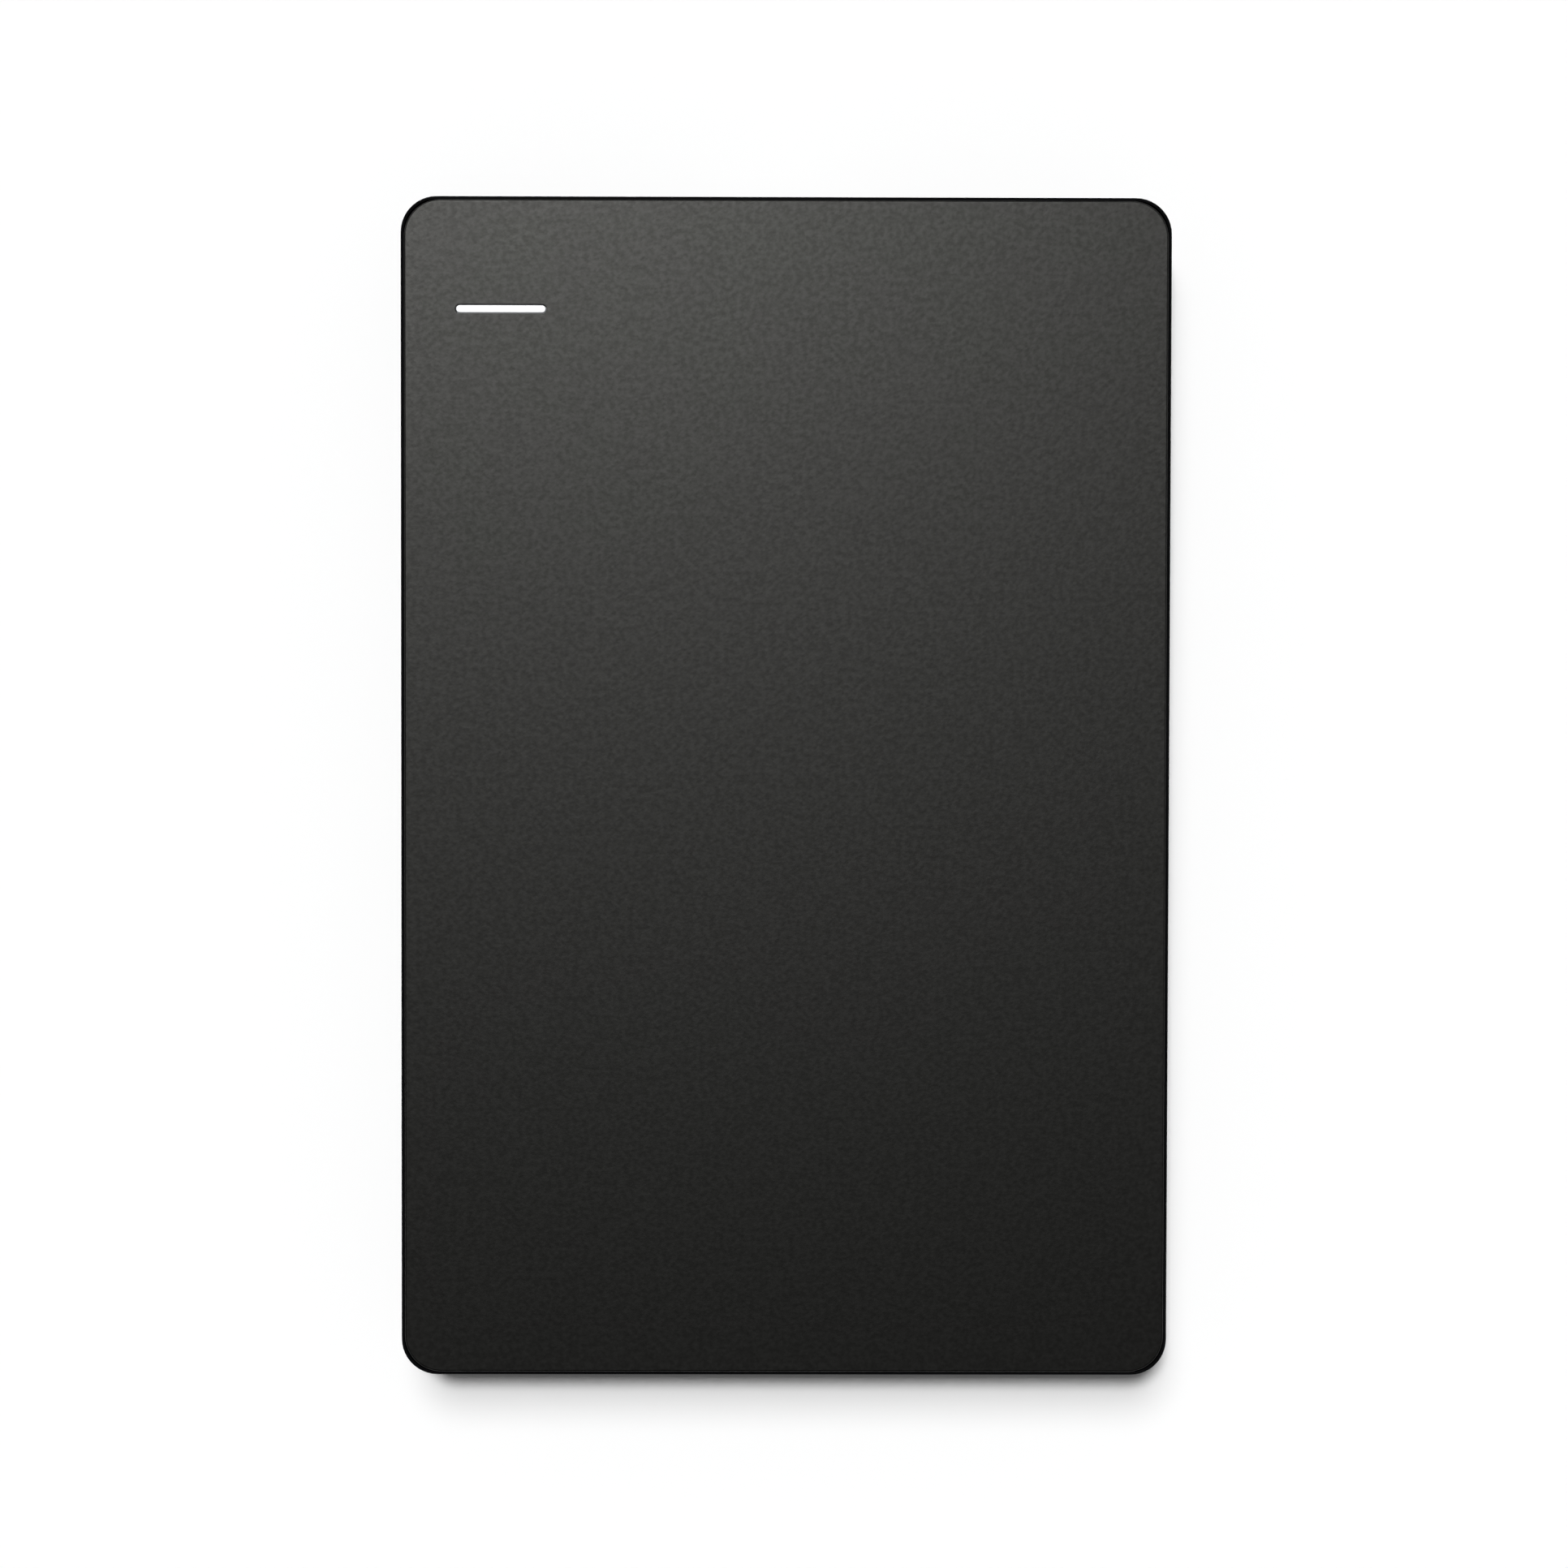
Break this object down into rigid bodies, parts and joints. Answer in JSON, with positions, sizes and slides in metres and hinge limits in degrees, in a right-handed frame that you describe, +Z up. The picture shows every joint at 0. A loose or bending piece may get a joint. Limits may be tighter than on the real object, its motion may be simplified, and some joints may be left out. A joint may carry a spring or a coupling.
{
  "type": "portable external hard drive",
  "caption": "Flat portable hard drive with a dark metal front plate, black moulded shells, a light bar, rubber feet and a cable port in one short end.",
  "frame": {"origin": "middle of the housing's footprint, on the plane of its feet", "axes": "+Z up through the front plate, +Y along the housing towards the port end, +X across it, to the right when the plate is seen from above with the port end on top"},
  "size_m": [0.076, 0.1166, 0.0121],
  "materials": {
    "anodised_plate": "satin anodised, fine matt grain",
    "shell_plastic": "moulded, fine matt texture",
    "light_plastic": "milky, polished face",
    "adhesive": "foam tape",
    "foot_rubber": "matt",
    "bumper_rubber": "matt",
    "foil": "foil",
    "circuit_board": "solder mask",
    "port_steel": "nickel plated",
    "contact_gold": "gold plated",
    "connector_plastic": "moulded",
    "chip_resin": "moulded resin",
    "led_resin": "clear over phosphor",
    "cast_aluminium": "cast and machined",
    "cover_steel": "stamped",
    "machined_steel": "turned",
    "bearing_bronze": "turned",
    "magnet_nickel": "nickel plated",
    "stator_steel": "laminated sheet",
    "copper_wire": "enamelled wire",
    "disk_alloy": "mirror polished",
    "slider_ceramic": "lapped",
    "ramp_plastic": "moulded",
    "filter_fibre": "non-woven"
  },
  "bodies": {
    "enclosure": {"front_plate": "anodised_plate", "upper_shell": "shell_plastic", "rear_shell": "shell_plastic", "light_pipe": "light_plastic", "plate_adhesive": "adhesive", "foot_port_left": "foot_rubber", "foot_port_right": "foot_rubber", "foot_far_left": "foot_rubber", "foot_far_right": "foot_rubber", "bumper_port_left": "bumper_rubber", "bumper_port_right": "bumper_rubber", "bumper_far_left": "bumper_rubber", "bumper_far_right": "bumper_rubber", "crash_stops": "bumper_rubber", "cover_gasket": "bumper_rubber", "shield_foil": "foil", "bridge_board": "circuit_board", "drive_board": "circuit_board", "usb_shell": "port_steel", "crystal": "port_steel", "usb_contacts": "contact_gold", "usb_tongue": "connector_plastic", "sata_receptacle": "connector_plastic", "drive_sata_plug": "connector_plastic", "bridge_chip": "chip_resin", "flash_chip": "chip_resin", "drive_controller": "chip_resin", "drive_memory": "chip_resin", "motor_driver": "chip_resin", "indicator_led": "led_resin", "drive_base": "cast_aluminium", "drive_cover": "cover_steel", "lower_yoke": "cover_steel", "upper_yoke": "cover_steel", "cover_screws": "machined_steel", "board_screws": "machined_steel", "pivot_post": "machined_steel", "yoke_posts": "machined_steel", "bearing_sleeve": "bearing_bronze", "magnet_lower": "magnet_nickel", "magnet_upper": "magnet_nickel", "stator_core": "stator_steel", "stator_windings": "copper_wire", "parking_ramp": "ramp_plastic", "recirculation_filter": "filter_fibre", "breather_filter": "filter_fibre"},
    "disk_stack": {"spindle_hub": "machined_steel", "spindle_shaft": "machined_steel", "rotor_magnet": "magnet_nickel", "platter": "disk_alloy", "disk_clamp": "machined_steel", "clamp_screw": "machined_steel"},
    "head_arm": {"arm_block": "cast_aluminium", "pivot_sleeve": "machined_steel", "voice_coil": "copper_wire", "suspension_upper": "machined_steel", "suspension_lower": "machined_steel", "slider_upper": "slider_ceramic", "slider_lower": "slider_ceramic"}
  },
  "joints": [
    {"name": "spindle_spin", "type": "hinge", "parent": "enclosure", "child": "disk_stack", "pos_m": [0, -0.02138, 0.006], "axis": [0, 0, 1], "continuous": true},
    {"name": "arm_swing", "type": "hinge", "parent": "enclosure", "child": "head_arm", "pos_m": [0.014, 0.01823, 0.007], "axis": [0, 0, 1], "range_deg": [0, 30.95]}
  ]
}
